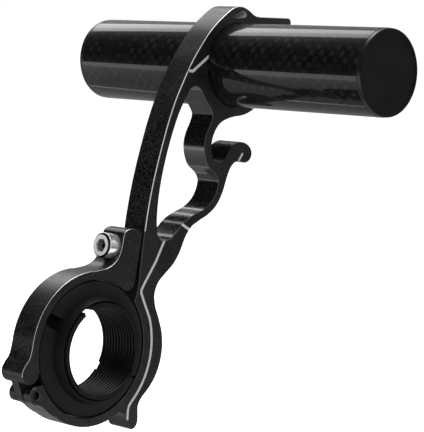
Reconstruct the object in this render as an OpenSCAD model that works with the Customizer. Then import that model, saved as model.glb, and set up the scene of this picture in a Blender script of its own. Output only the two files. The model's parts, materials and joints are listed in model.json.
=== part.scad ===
/* [Handlebar clamp] */
// Handlebar diameter that the inner insert takes
bar_d = 22.2; // [21:0.1:23]
// Bore of the metal clamp
clamp_bore_d = 35; // [33:0.5:37]
// Wall of the clamp ring
clamp_wall = 2.2; // [1.8:0.1:2.8]
// Gap left between the jaw and the bracket beside the screw
clamp_gap = 0.9; // [0.6:0.1:1.2]

/* [Plate] */
// Thickness of the bracket and of the jaw
plate_t = 8; // [7:0.5:12]
// Distance from the clamp axis to the tube axis, level
reach_y = 52; // [46:1:58]
// Distance from the clamp axis to the tube axis, upright
reach_z = 69; // [62:1:80]

/* [Accent lines] */
// Width of the milled accent lines
accent_w = 0.75; // [0.4:0.05:1]
// Depth of the milled accent lines
accent_depth = 0.12; // [0.1:0.02:0.6]

/* [Tube] */
// Outside diameter of the extension tube
tube_d = 22.2; // [20:0.1:25.4]
// Length of the extension tube without its caps
tube_length = 100; // [70:5:160]
// How far the middle of the tube stands to the right of the bracket
tube_shift = 4.6; // [-10:0.1:10]
// Wall of the extension tube
tube_wall = 1.5; // [1:0.1:2.5]
// Wall of the ring that holds the tube
tube_ring_wall = 2.4; // [1.8:0.1:3.2]
// How far the tab on top of the ring reaches behind the tube axis
tab_reach = 21; // [16:1:28]
// Thickness of that tab
tab_t = 2.4; // [1.6:0.1:3]

/* [End caps] */
// Thickness of the cap's rim outside the tube
cap_rim_t = 1.3; // [0.8:0.1:2.5]
// Depth of the dish inside the cap's rim
cap_dish = 0.25; // [0.1:0.05:0.5]
// Width of the cap's raised rim
cap_rim_w = 0.7; // [0.4:0.1:1.5]
// How far the cap's rim lies inside the tube's outside
cap_inset = 0.1; // [0.05:0.05:0.3]
// Length of the plug inside the tube
cap_plug = 7; // [4:1:15]
// Wall of the plug
cap_plug_wall = 1.4; // [1:0.1:2.5]

/* [Inserts] */
// How far the outer insert's faces rise out of the clamp towards its bore
outer_insert_crown = 1; // [0.2:0.1:1.5]
// Inside diameter of the outer insert
outer_insert_id = 27; // [26.6:0.1:29]
// Inside diameter of the middle insert
middle_insert_id = 24.4; // [24.3:0.1:25]
// How far the middle insert stands out on the right
middle_insert_proud = 3.5; // [1.5:0.1:5]
// How far the inner insert stands out on the right
inner_insert_proud = 4; // [1.5:0.1:6]
// Length of the cone at the end of the middle insert
insert_cone = 2.4; // [0.5:0.1:3]
// How far the middle and the inner insert stand out on the left
sleeve_back = 0.6; // [0.2:0.1:0.9]
// Width of the split in the outer insert
outer_split_w = 3.4; // [1:0.1:5]
// Width of the split in the middle and the inner insert
inner_split_w = 2.8; // [1:0.1:5]
// Width of the slit opposite the outer insert's split
slit_w = 0.7; // [0.4:0.1:1]
// Number of grip grooves inside the inner insert
grip_grooves = 11; // [4:1:12]
// Depth of the grip grooves
grip_depth = 0.3; // [0.1:0.05:0.4]
// Width of the shallow channel along the bore of the inner insert
channel_w = 2.2; // [1:0.1:3]
// Depth of that channel
channel_depth = 0.5; // [0.2:0.05:0.6]

/* [Hinge] */
// Diameter of the hinge pin
pin_d = 2; // [1.5:0.1:2.4]
// Radius of the hinge ears
ear_r = 2.25; // [2:0.05:2.6]
// Radius of the jaw's tongue round the pin
tongue_r = 2.3; // [2:0.05:2.4]
// Width of the jaw's tongue
tongue_w = 2.6; // [2:0.1:3.4]
// Radius of the knob at the foot of the jaw
knob_r = 2.65; // [2.4:0.05:2.8]
// How far the pin's ends lie below the faces
pin_recess = 0.6; // [0.2:0.1:1]

/* [Clamp screw] */
// Diameter of the screw's shank
screw_d = 4; // [3:0.1:4.2]
// Diameter of the screw's head
screw_head_d = 6.6; // [5.5:0.1:7]
// Height of the screw's head
screw_head_h = 4; // [3:0.1:5]
// Size of the hexagon socket across its flats
socket_af = 3; // [2:0.1:3.2]
// Depth of the hexagon socket
socket_depth = 2.2; // [1:0.1:2.6]
// Length of the shank under the head
screw_length = 10.6; // [9:0.1:10.8]

/* [Fits] */
// Depth of the tube's waist inside its ring, which leaves room for the bond
bond_gap = 0.2; // [0.18:0.01:0.3]
// Running clearance of the jaw on its pin
pin_clearance = 0.05; // [0.02:0.01:0.1]
// Room round the screw's shank in the jaw and in the bracket
screw_clearance = 0.15; // [0.1:0.05:0.3]
// Side room of the tongue between the ears
tongue_clearance = 0.3; // [0.2:0.05:0.4]
// Room between the outer insert and the metal clamp
insert_clearance = 0.3; // [0.2:0.05:0.4]
// Fit of one insert inside another, and of the cap's plug in the tube
push_fit = 0.05; // [0.02:0.01:0.1]

/* [Hidden] */
$fn = 96;
// Longest straight step along a free curve
curve_step = 1.2;
// How far a cutting shape runs past the face that it cuts
past = 1;
// Slope of the tab on the tube's ring, and its height above the tube where it starts
tab_slope = 2.6;
tab_top = 1.8;
// How far outside the clamp ring its accent line runs
arc_out = 0.6;
// Bevel at the ends of the inserts, of the screw and of the caps
insert_edge = 0.4;
screw_edge = 0.4;
cap_edge = 0.25;
// How far the tube's waist runs past the faces of its ring
waist_past = 0.3;
// Where the splits, the slit and the channel of the inserts lie, seen from the clamp axis
outer_split_at = 146;
middle_split_at = -8;
inner_split_at = 113;
slit_at = -34;
channel_at = -37;
// Share of the grip pitch that a groove takes
groove_share = 0.45;
// Half width of the ear's web at the ring, and how far a web runs into what it joins
web_half = 1.25;
web_bite = 0.15;
// Arc of the clamp ring that the bracket covers, the jaw's, and that of the accent line round it
bracket_arc = [203, 330];
jaw_arc = [90, 191];
accent_arc = [-50, 16];

// The outlines below are drawn for these sizes and follow the real ones
drawn_ring_r = 19.7;
drawn_tube_r = 11.1;
drawn_axis = [52, 69];
drawn_gap = 0.9;

bore_r = clamp_bore_d / 2;
ring_r = bore_r + clamp_wall;
tube_r = tube_d / 2;
tube_axis = [reach_y, reach_z];
tube_right = tube_shift + tube_length / 2;
tube_left = tube_shift - tube_length / 2;

function unit(v) = v / norm(v);
function limit(x) = min(max(x, 0), 1);

// How far along the bracket a drawn point lies: 0 on the clamp, 1 on the tube's ring
function share(p) =
    limit((p * unit(drawn_axis) - drawn_ring_r) / (norm(drawn_axis) - drawn_ring_r - drawn_tube_r));

// Moves a drawn point with the clamp ring, the tube's size and the tube's place
function fit(p) =
    let (s = share(p))
    p + s * (tube_axis - drawn_axis)
      + (1 - s) * (ring_r - drawn_ring_r) * unit(p)
      + s * (tube_r - drawn_tube_r) * unit(p - drawn_axis);

// Direction of a smooth curve at point i, weighted by the distances to its neighbours
function heading(pts, i) =
    let (n = len(pts),
         a = i > 0 ? pts[i] - pts[i - 1] : pts[1] - pts[0],
         b = i < n - 1 ? pts[i + 1] - pts[i] : pts[n - 1] - pts[n - 2])
    (a / norm(a) * norm(b) + b / norm(b) * norm(a)) / (norm(a) + norm(b));

// A smooth curve through the drawn points, as short straight steps
function curve(drawn) =
    let (pts = [for (p = drawn) fit(p)], n = len(pts))
    [for (i = [0:n - 2])
        let (d = norm(pts[i + 1] - pts[i]), steps = max(1, ceil(d / curve_step)),
             m0 = heading(pts, i) * d, m1 = heading(pts, i + 1) * d)
        for (k = [(i == 0 ? 0 : 1):steps])
            let (t = k / steps)
            (2 * t ^ 3 - 3 * t ^ 2 + 1) * pts[i] + (t ^ 3 - 2 * t ^ 2 + t) * m0
            + (3 * t ^ 2 - 2 * t ^ 3) * pts[i + 1] + (t ^ 3 - t ^ 2) * m1];

// Tail, spine, underside of the rear arm, hook and throat, from the clamp up to the tube's ring
tail_edge = [[8, -17.65], [9.4, -17.95], [10.6, -18.75], [11.4, -19.9], [12, -21.2], [12.4, -22.3],
    [13.1, -22.9], [14, -22.7], [14.8, -22], [15.25, -20.8], [15.3, -19], [15.4, -17], [16.4, -15.4],
    [19, -13.2], [21.4, -10.5], [23.2, -7], [24.1, -3], [24, 0.8], [22.9, 4.8], [21.6, 8.6], [21.5, 11.6],
    [22.8, 14.2], [25.4, 16.3], [28.3, 18.5], [30.6, 21.4], [32.4, 24.7], [34.3, 27.2], [37.5, 28.8],
    [41.2, 30.3], [44.3, 32.5], [46.6, 35.9], [48.2, 39.7], [49.8, 42.3], [51.8, 43.5], [53.5, 43.2],
    [55.1, 42.85]];
hook_edge = [[55.1, 42.85], [56.7, 43.4], [57.6, 45], [57.1, 46.7], [55.4, 48], [52.8, 48.55],
    [50.5, 47.8], [48.8, 46.2], [47.4, 44.4], [45.4, 43.6], [43.4, 44.2], [42.4, 46.1], [42.4, 49],
    [43.5, 51.8], [45.6, 54], [48.6, 55.1], [51.4, 55.5]];
// Front edge of the front arm, from the tab over the top and down to the screw
front_edge = [[60.6, 81.6], [59.4, 81.7], [58.3, 82.15], [57, 83.05], [55.6, 83.8], [54, 84.35],
    [52.3, 84.45], [50.4, 84.05], [48, 82.75], [44.6, 80.5], [41.9, 78.3], [39.5, 75.8], [37.5, 73.5],
    [35.4, 70.9], [33.1, 67.5], [31.2, 64.4], [29.5, 61.5], [26.6, 55.4], [24.1, 49], [21.9, 42.7],
    [20.2, 37], [19, 32.2], [18.1, 28]];
// Edge beside the jaw, from the screw down to the clamp bore
gap_edge = [[18.1, 28], [17.5, 25], [16.4, 18.4], [15.5, 12.8], [14, 9.5]];
// Window between the two arms
window_edge = [[22.5, 27.2], [22.4, 30], [22.8, 34.5], [24, 40.5], [25.8, 46.5], [28.1, 52.5],
    [30.6, 57.7], [33.2, 61.7], [34.7, 63.6], [36.4, 64.2], [38.1, 63.4], [39.9, 60.6], [41.8, 58.2],
    [42.8, 56.3], [42, 54.1], [40.5, 51.6], [39.6, 48.8], [39.8, 45.8], [41.1, 42.8], [43.5, 40.8],
    [44.8, 38.8], [44.3, 36.4], [42.5, 33.7], [39.6, 31.8], [35.8, 30.6], [32.3, 29.1], [29.2, 26.7],
    [27, 25.2], [25.2, 24.7], [23.6, 25.2]];
// Small window under the top of the front arm
small_window_edge = [[50.2, 81.75], [52.1, 82.55], [53.8, 83.25], [54.6, 83.35], [55.25, 82.95],
    [55.5, 82.35], [55.3, 81.85], [54.4, 81.6], [52.2, 81.5]];
// Underside of the hinge ears, from the pin to the ring
ear_edge = [[-18.6, -11.2], [-17.2, -11.75], [-15.9, -12.7], [-14.4, -14.05], [-12.6, -15.3]];
// Edge of the jaw beside the bracket
jaw_gap_edge = [for (p = [[10.6, 13.6], [12.4, 13.4], [13.9, 14], [14.5, 15.4], [15.1, 18], [16, 22.4],
    [17.1, 27.2]]) p + [drawn_gap - clamp_gap, 0]];
// Outer edge of the jaw: foot, then the lug from its top corner down to the ring
jaw_foot_edge = [[-22.6, -2.2], [-21.7, -0.9], [-20.6, 0.2], [-19.9, 1.7], [-19.4, 3.6]];
jaw_lug_edge = [jaw_gap_edge[len(jaw_gap_edge) - 1], [16.4, 28.3], [14.4, 28.95], [12.4, 28.95],
    [11.2, 28.3], [10.7, 26.8], [10.2, 24.8], [9.2, 22.5], [7.6, 20.9], [5.2, 19.95], [2.4, 19.65],
    [-1.2, 19.6]];
// Corner of the bracket's outline inside the clamp ring
ring_corner = [7, -16];
// Middle lines of the accent lines: spine, foot, rear arm, front arm and hook
accent_lines = [
    [[25.1, 25.1], [21.9, 19.8], [17.3, 13.8], [16.8, 13], [16.7, 12.3], [17.1, 11.2], [19.5, 5.5]],
    [[13, -15.6], [12.2, -16.5], [11.8, -17.8], [11.6, -20.2]],
    [[31.2, 28.6], [34.3, 26.6]],
    [[33.95, 68.3], [35.3, 68.1], [41.3, 71.8]],
    [[52.4, 43.4], [54.1, 45.5]]];

// Hinge pin, knob of the jaw and screw
pin_at = fit([-18.35, -9]);
knob_at = fit([-20.2, -3.3]);
head_at = fit([6.5, 25.25]);
screw_tilt = -11;
screw_dir = [cos(screw_tilt), sin(screw_tilt)];

// Places a flat drawing of the Y and Z axes as a plate of thickness t
module plate(t) {
    rotate([90, 0, 90])
        linear_extrude(height = t, center = true)
            children();
}

// Lays a rod or a bore of radius r along X, from x0 to x1, through a point of the drawing
module along_x(at, r, x0, x1) {
    translate([x0, at[0], at[1]])
        rotate([0, 90, 0])
            cylinder(r = r, h = x1 - x0);
}

// The same with a different radius at its end
module cone_x(r0, r1, x0, x1) {
    translate([x0, 0, 0])
        rotate([0, 90, 0])
            cylinder(r1 = r0, r2 = r1, h = x1 - x0);
}

// Turns what is built along +Z so that it lies along the screw, head first
module on_screw() {
    translate([0, head_at[0], head_at[1]])
        rotate([screw_tilt - 90, 0, 0])
            children();
}

// A wedge of the drawing between two angles, seen from the clamp axis
module wedge(from, to, r) {
    steps = 6;
    polygon(concat([[0, 0]], [for (i = [0:steps])
        let (a = from + (to - from) * i / steps)
        r * [cos(a), sin(a)]]));
}

// Corner of an accent line at point i of its path, on its left (1) or its right (-1)
function accent_corner(pts, i, side) =
    let (n = len(pts),
         a = unit(i > 0 ? pts[i] - pts[i - 1] : pts[1] - pts[0]),
         b = unit(i < n - 1 ? pts[i + 1] - pts[i] : pts[n - 1] - pts[n - 2]),
         m = unit(a + b))
    pts[i] + side * accent_w / 2 / (a * m) * [-m[1], m[0]];

// An accent line through drawn points, with mitred corners
module accent_path(drawn) {
    pts = [for (p = drawn) fit(p)];
    last = len(pts) - 1;
    polygon(concat([for (i = [0:last]) accent_corner(pts, i, 1)],
        [for (i = [last:-1:0]) accent_corner(pts, i, -1)]));
}

// The accent lines of one face, with the arc round the clamp ring
module accents() {
    arc_r = ring_r + arc_out;
    for (line = accent_lines)
        accent_path(line);
    intersection() {
        difference() {
            circle(r = arc_r + accent_w / 2);
            circle(r = arc_r - accent_w / 2);
        }
        wedge(accent_arc[0], accent_arc[1], 2 * arc_r);
    }
}

module fixed_half() {
    intersection() {
        circle(r = ring_r);
        wedge(bracket_arc[0], bracket_arc[1], 2 * ring_r);
    }
    polygon(concat(curve(tail_edge), curve(hook_edge), [tube_axis - [0, tube_r + tube_ring_wall / 2],
        tube_axis, tube_axis + [0, tube_r + tab_t / 2]], curve(front_edge), curve(gap_edge), [fit(ring_corner)]));
    translate(tube_axis)
        circle(r = tube_r + tube_ring_wall);
    tube_tab();
    hinge_ear();
}

// Flat tab that runs back from the top of the tube's ring, a little downhill
module tube_tab() {
    translate(tube_axis + [0, tube_r + tab_top])
        rotate(-tab_slope) {
            translate([0, -tab_t])
                square([tab_reach - tab_t / 2, tab_t]);
            translate([tab_reach - tab_t / 2, -tab_t / 2])
                circle(d = tab_t);
        }
}

// Round ear and the web that joins it to the ring, from a point inside the bore to the pin
module hinge_ear() {
    out = unit(pin_at);
    side = [-out[1], out[0]];
    translate(pin_at)
        circle(r = ear_r);
    polygon(concat(curve(ear_edge), [(bore_r - past) * unit(fit(ear_edge[len(ear_edge) - 1])),
        (bore_r - past) * out, (bore_r + web_bite) * out - web_half * side,
        pin_at - (ear_r - web_bite) * side]));
}

// Room for the shank while the jaw swings open with the screw still in it
module swing_room() {
    tip = head_at + (screw_head_h + screw_length) * screw_dir + screw_d / 2 * [-screw_dir[1], screw_dir[0]];
    sweep_r = norm(tip - pin_at) + screw_clearance;
    plate(screw_d + 2 * screw_clearance)
        intersection() {
            translate(pin_at)
                circle(r = sweep_r, $fn = 360);
            translate(head_at + screw_head_h * screw_dir)
                rotate(screw_tilt)
                    square([screw_length + screw_clearance, screw_length]);
        }
}

module bracket() {
    color([0.1, 0.1, 0.11])
        difference() {
            plate(plate_t)
                difference() {
                    fixed_half();
                    polygon(curve(concat(window_edge, [window_edge[0]])));
                    polygon(curve(concat(small_window_edge, [small_window_edge[0]])));
                }
            along_x([0, 0], bore_r, -plate_t, plate_t);
            along_x(tube_axis, tube_r, -plate_t, plate_t);
            along_x(pin_at, pin_d / 2, -plate_t, plate_t);
            along_x(pin_at, tongue_r + tongue_clearance, -tongue_w / 2 - tongue_clearance,
                tongue_w / 2 + tongue_clearance);
            plate(tongue_w + 2 * tongue_clearance)
                tongue_arm(tongue_r + tongue_clearance);
            on_screw()
                cylinder(d = screw_d + 2 * screw_clearance, h = screw_head_h + screw_length + screw_clearance);
            swing_room();
            for (side = [-1, 1])
                translate([side * plate_t / 2, 0, 0])
                    plate(2 * accent_depth)
                        accents();
        }
}

// Jaw outline: ring, lug for the screw and knob at the foot
module jaw_plan() {
    intersection() {
        circle(r = ring_r);
        wedge(jaw_arc[0], jaw_arc[1], 2 * ring_r);
    }
    polygon(concat(curve(jaw_gap_edge), curve(jaw_lug_edge), [[-past, bore_r], [0, bore_r - past]]));
    translate(knob_at)
        circle(r = knob_r);
    polygon(concat(curve(jaw_foot_edge), [knob_at + [knob_r - web_bite, 0], knob_at]));
}

// Straight arm of half width r from the pin up into the jaw's knob
module tongue_arm(r) {
    side = r * unit([pin_at[1] - knob_at[1], knob_at[0] - pin_at[0]]);
    polygon([pin_at - side, knob_at - side, knob_at + side, pin_at + side]);
}

// Tongue that reaches down between the ears to the pin
module tongue_plan() {
    translate(pin_at)
        circle(r = tongue_r);
    tongue_arm(tongue_r);
}

module clamp_jaw() {
    color([0.1, 0.1, 0.11])
        difference() {
            union() {
                plate(plate_t)
                    jaw_plan();
                plate(tongue_w)
                    tongue_plan();
            }
            along_x([0, 0], bore_r, -plate_t, plate_t);
            along_x(pin_at, pin_d / 2 + pin_clearance, -plate_t, plate_t);
            on_screw()
                cylinder(d = screw_d + 2 * screw_clearance, h = screw_head_h + screw_length + past);
            on_screw()
                translate([0, 0, -screw_head_h])
                    cylinder(d = screw_head_d + 2 * screw_clearance, h = 2 * screw_head_h);
        }
}

module hinge_pin() {
    color([0.3, 0.3, 0.31])
        along_x(pin_at, pin_d / 2, -plate_t / 2 + pin_recess, plate_t / 2 - pin_recess);
}

module clamp_screw() {
    shank_end = screw_head_h + screw_length - screw_edge;
    color([0.85, 0.85, 0.86])
        on_screw()
            difference() {
                union() {
                    cylinder(d1 = screw_head_d - 2 * screw_edge, d2 = screw_head_d, h = screw_edge);
                    translate([0, 0, screw_edge])
                        cylinder(d = screw_head_d, h = screw_head_h - screw_edge);
                    cylinder(d = screw_d, h = shank_end);
                    translate([0, 0, shank_end])
                        cylinder(d1 = screw_d, d2 = screw_d - 2 * screw_edge, h = screw_edge);
                }
                translate([0, 0, -past])
                    cylinder(d = socket_af / cos(30), h = socket_depth + past, $fn = 6);
            }
}

// A radial cut of an insert at an angle, from radius r0 to r1
module radial_cut(angle, w, r0, r1, x0, x1) {
    rotate([angle, 0, 0])
        translate([x0, r0, -w / 2])
            cube([x1 - x0, r1 - r0, w]);
}

// Ring that fills the metal clamp, split on one side and slit on the other
module outer_insert() {
    r1 = bore_r - insert_clearance;
    r0 = outer_insert_id / 2;
    face = plate_t / 2;
    end = face + outer_insert_crown;
    color([0.06, 0.06, 0.06])
        difference() {
            union() {
                along_x([0, 0], r1, insert_edge - face, face - insert_edge);
                for (side = [-1, 1])
                    mirror([side < 0 ? 1 : 0, 0, 0]) {
                        cone_x(r1, r1 - insert_edge, face - insert_edge, face);
                        cone_x(r1 - insert_edge, r0, face, end);
                    }
            }
            along_x([0, 0], r0, -end - past, end + past);
            radial_cut(outer_split_at, outer_split_w, r0 - past, r1 + past, -end - past, end + past);
            radial_cut(slit_at, slit_w, r0 + slit_w / 2, r1 + past, -end - past, end + past);
        }
}

// Sleeve with a cone at its right end and a bevelled mouth
module middle_insert() {
    r1 = outer_insert_id / 2 - push_fit;
    r0 = middle_insert_id / 2;
    start = -plate_t / 2 - sleeve_back;
    end = plate_t / 2 + middle_insert_proud;
    color([0.06, 0.06, 0.06])
        difference() {
            union() {
                along_x([0, 0], r1, start, end - insert_cone);
                cone_x(r1, (r0 + r1) / 2, end - insert_cone, end);
            }
            along_x([0, 0], r0, start - past, end + past);
            cone_x(r0, r0 + 2 * insert_edge, end - insert_edge, end + insert_edge);
            radial_cut(middle_split_at, inner_split_w, 0, r1 + past, start - past, end + past);
        }
}

// Sleeve with grip grooves round its bore and a shallow channel along it
module inner_insert() {
    r1 = middle_insert_id / 2 - push_fit;
    r0 = bar_d / 2;
    start = -plate_t / 2 - sleeve_back;
    end = plate_t / 2 + inner_insert_proud;
    pitch = (end - start) / (grip_grooves + 0.5);
    color([0.06, 0.06, 0.06])
        difference() {
            along_x([0, 0], r1, start, end);
            along_x([0, 0], r0, start - past, end + past);
            for (i = [0:grip_grooves - 1])
                along_x([0, 0], r0 + grip_depth, start + (i + 0.5) * pitch,
                    start + (i + 0.5 + groove_share) * pitch);
            radial_cut(inner_split_at, inner_split_w, 0, r1 + past, start - past, end + past);
            radial_cut(channel_at, channel_w, 0, r0 + channel_depth, start - past, end + past);
        }
}

// Tube with a waist in its ring, so that its two free ends are walls of their own
module extension_tube() {
    waist = plate_t / 2 + waist_past;
    color([0.12, 0.12, 0.13])
        difference() {
            union() {
                along_x(tube_axis, tube_r, tube_left, -waist);
                along_x(tube_axis, tube_r - bond_gap, -waist, waist);
                along_x(tube_axis, tube_r, waist, tube_right);
            }
            along_x(tube_axis, tube_r - tube_wall, tube_left - past, tube_right + past);
        }
}

// A cap at x = 0 with its plug towards -X
module end_cap() {
    rim_r = tube_r - cap_inset;
    plug_r = tube_r - tube_wall - push_fit;
    color([0.08, 0.08, 0.08])
        translate([0, tube_axis[0], tube_axis[1]])
            rotate([0, 90, 0])
                difference() {
                    union() {
                        cylinder(r = rim_r, h = cap_rim_t - cap_edge);
                        translate([0, 0, cap_rim_t - cap_edge])
                            cylinder(r1 = rim_r, r2 = rim_r - cap_edge, h = cap_edge);
                        translate([0, 0, -cap_plug])
                            cylinder(r = plug_r, h = cap_plug);
                    }
                    translate([0, 0, cap_rim_t - cap_dish])
                        cylinder(r = rim_r - cap_rim_w, h = past);
                    translate([0, 0, -cap_plug - past])
                        cylinder(r = plug_r - cap_plug_wall, h = cap_plug + past);
                }
}

module end_cap_right() {
    translate([tube_right, 0, 0])
        end_cap();
}

module end_cap_left() {
    translate([tube_left, 0, 0])
        mirror([1, 0, 0])
            end_cap();
}

bracket();
clamp_jaw();
hinge_pin();
clamp_screw();
outer_insert();
middle_insert();
inner_insert();
extension_tube();
end_cap_right();
end_cap_left();
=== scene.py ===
"""A handlebar extender: a black bracket that clamps on a bar and carries a woven tube.

Every size is in metres, in the part's own frame: X along the bar, Y towards the tube, Z up.
"""

import json
import logging
import math
from dataclasses import dataclass
from enum import Enum, IntEnum
from typing import Sequence

import bmesh
import bpy
import numpy as np
from mathutils import Matrix, Vector

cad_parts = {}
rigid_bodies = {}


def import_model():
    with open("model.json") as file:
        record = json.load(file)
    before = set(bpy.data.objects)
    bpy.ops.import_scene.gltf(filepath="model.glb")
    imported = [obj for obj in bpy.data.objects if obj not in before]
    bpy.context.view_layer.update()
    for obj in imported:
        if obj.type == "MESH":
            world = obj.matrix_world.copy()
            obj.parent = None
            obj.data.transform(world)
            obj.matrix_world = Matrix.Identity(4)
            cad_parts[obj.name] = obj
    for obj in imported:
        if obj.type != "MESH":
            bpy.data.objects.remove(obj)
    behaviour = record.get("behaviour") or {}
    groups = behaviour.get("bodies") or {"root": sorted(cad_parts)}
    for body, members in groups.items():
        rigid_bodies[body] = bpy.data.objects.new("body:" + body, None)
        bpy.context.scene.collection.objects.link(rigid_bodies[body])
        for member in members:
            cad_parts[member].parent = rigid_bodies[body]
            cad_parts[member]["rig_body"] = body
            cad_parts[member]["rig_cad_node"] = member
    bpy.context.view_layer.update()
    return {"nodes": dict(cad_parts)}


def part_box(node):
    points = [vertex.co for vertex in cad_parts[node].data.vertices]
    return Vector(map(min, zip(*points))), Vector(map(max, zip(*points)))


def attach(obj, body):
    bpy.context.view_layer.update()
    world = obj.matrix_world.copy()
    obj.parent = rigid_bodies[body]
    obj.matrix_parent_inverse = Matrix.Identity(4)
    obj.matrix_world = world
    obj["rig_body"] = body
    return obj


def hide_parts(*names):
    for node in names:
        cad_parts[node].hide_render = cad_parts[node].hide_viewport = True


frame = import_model()

log = logging.getLogger("extender")
MM = 0.001
# Points that lie closer than this are one point
SAME_POINT = 0.0005 * MM
Colour = tuple[float, float, float]
Point = tuple[float, float, float]
Range = tuple[float, float]
Outline = Sequence[tuple[float, float]]
Shape = tuple[np.ndarray, np.ndarray]
Socket = bpy.types.NodeSocket
Material = bpy.types.Material
Materials = Sequence[bpy.types.Material]
SceneObject = bpy.types.Object
WorkMesh = bmesh.types.BMesh
# Between these two amounts lies nearly all of a noise
NOISE_REACH = (0.3, 0.7)


# Materials


class Nodes:
    """A node tree, and short ways to add nodes to it."""

    def __init__(self, tree: bpy.types.NodeTree) -> None:
        """Takes the tree.

        Args:
            tree: Tree of a material or of the world.
        """
        self.tree = tree

    def node(self, kind: str, **values: object) -> bpy.types.Node:
        """Adds a node and sets its properties.

        Args:
            kind: The node's type name.
            values: Properties of the node by name.

        Returns:
            The new node.
        """
        made = self.tree.nodes.new(kind)
        for key, value in values.items():
            setattr(made, key, value)
        return made

    def feed(self, socket: Socket, value: object) -> None:
        """Links an output to a socket, or sets the socket to a plain value.

        Args:
            socket: The input socket.
            value: An output socket, a number or a tuple.
        """
        if isinstance(value, Socket):
            self.tree.links.new(value, socket)
        else:
            socket.default_value = value

    def maths(self, operation: str, a: object, b: object = 0.0) -> Socket:
        """One Math node.

        Args:
            operation: Blender's name of the operation.
            a: First number or output.
            b: Second number or output.

        Returns:
            The result's socket.
        """
        made = self.node("ShaderNodeMath", operation=operation)
        self.feed(made.inputs[0], a)
        self.feed(made.inputs[1], b)
        return made.outputs[0]

    def between(self, amount: object, low: float, high: float, start: float = 0.0,
                end: float = 1.0) -> Socket:
        """Spreads an amount over a new range.

        Args:
            amount: The output to spread.
            low: Result at the start.
            high: Result at the end.
            start: Amount at which the result is low.
            end: Amount at which the result is high.

        Returns:
            The new value.
        """
        made = self.node("ShaderNodeMapRange")
        self.feed(made.inputs["Value"], amount)
        for name, value in (("From Min", start), ("From Max", end), ("To Min", low), ("To Max", high)):
            made.inputs[name].default_value = value
        return made.outputs["Result"]

    def seen_directly(self) -> Socket:
        """What the camera, gloss and glass look at, apart from what gives soft light.

        Returns:
            1 for the first and 0 for the second.
        """
        paths = self.node("ShaderNodeLightPath")
        seen = self.maths("MAXIMUM", paths.outputs["Is Camera Ray"], paths.outputs["Is Glossy Ray"])
        return self.maths("MAXIMUM", seen, paths.outputs["Is Transmission Ray"])


class Shader(Nodes):
    """A new material with a Principled shader."""

    def __init__(self, name: str) -> None:
        """Makes the material.

        Args:
            name: The material's name.
        """
        self.material = bpy.data.materials.new(name)
        self.material.use_nodes = True
        super().__init__(self.material.node_tree)
        self.bsdf = next(n for n in self.tree.nodes if n.type == "BSDF_PRINCIPLED")

    def setting(self, **values: object) -> None:
        """Sets or links sockets of the shader, with spaces in their names as underscores.

        Args:
            values: A value or an output for each socket.
        """
        for key, value in values.items():
            if isinstance(value, tuple) and len(value) == 3 and key.endswith("Color"):
                value = (*value, 1.0)
            self.feed(self.bsdf.inputs[key.replace("_", " ")], value)

    def coords(self) -> Socket:
        """Object coordinates, in metres."""
        return self.node("ShaderNodeTexCoord").outputs["Object"]

    def uv(self, layer: str) -> Socket:
        """The named UV map of the piece."""
        return self.node("ShaderNodeUVMap", uv_map=layer).outputs["UV"]

    def noise(self, size: float, detail: float = 2.0, where: object = None,
              stretch: Point = (1.0, 1.0, 1.0)) -> Socket:
        """Smooth noise whose features are about one given size across.

        Args:
            size: Size of a feature, in the units of the coordinates.
            detail: How many finer layers are added.
            where: Coordinates, or None for Object coordinates.
            stretch: How much longer the features are along each axis.

        Returns:
            The noise's value, from 0 to 1.
        """
        place = self.node("ShaderNodeMapping")
        self.feed(place.inputs["Vector"], self.coords() if where is None else where)
        place.inputs["Scale"].default_value = [1.0 / (size * s) for s in stretch]
        made = self.node("ShaderNodeTexNoise")
        made.inputs["Scale"].default_value = 1.0
        made.inputs["Detail"].default_value = detail
        self.feed(made.inputs["Vector"], place.outputs["Vector"])
        return made.outputs["Fac"]

    def blend(self, amount: object, first: Colour, second: Colour) -> Socket:
        """A colour between two, by an amount from 0 to 1.

        Args:
            amount: Number or output.
            first: Colour at 0.
            second: Colour at 1.

        Returns:
            The mixed colour.
        """
        made = self.node("ShaderNodeMix", data_type="RGBA")
        self.feed(made.inputs["Factor"], amount)
        colours = [s for s in made.inputs if s.type == "RGBA"]
        for socket, colour in zip(colours, (first, second)):
            self.feed(socket, colour if isinstance(colour, Socket) else (*colour, 1.0))
        return next(s for s in made.outputs if s.type == "RGBA")

    def bump(self, height: object, depth: float, strength: float = 1.0) -> None:
        """Gives the shader a bump of a given depth.

        Args:
            height: Output from 0 to 1.
            depth: What 1 stands for, in metres.
            strength: Share of the bump that is used.
        """
        made = self.node("ShaderNodeBump")
        made.inputs["Distance"].default_value = depth
        made.inputs["Strength"].default_value = strength
        self.feed(made.inputs["Height"], height)
        self.feed(self.bsdf.inputs["Normal"], made.outputs["Normal"])

    def mix(self, first: object, second: object, share: float) -> Socket:
        """Adds two outputs, the first by a share and the second by the rest.

        Args:
            first: First output.
            second: Second output.
            share: Share of the first.

        Returns:
            The sum.
        """
        return self.maths("ADD", self.maths("MULTIPLY", first, share),
                          self.maths("MULTIPLY", second, 1.0 - share))

    def two_tone(self, amount: object, tones: tuple[Colour, Colour], rough: Range,
                 reach: Range = NOISE_REACH) -> None:
        """Runs the colour from dark to light, and the roughness with it, by an amount.

        Args:
            amount: Output to go by.
            tones: The dark and the light colour.
            rough: Roughness of the dark and of the light.
            reach: Amounts at which the dark and the light are reached.
        """
        self.setting(Base_Color=self.blend(self.between(amount, 0.0, 1.0, *reach), *tones),
                     Roughness=self.between(amount, *rough, *reach))


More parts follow.
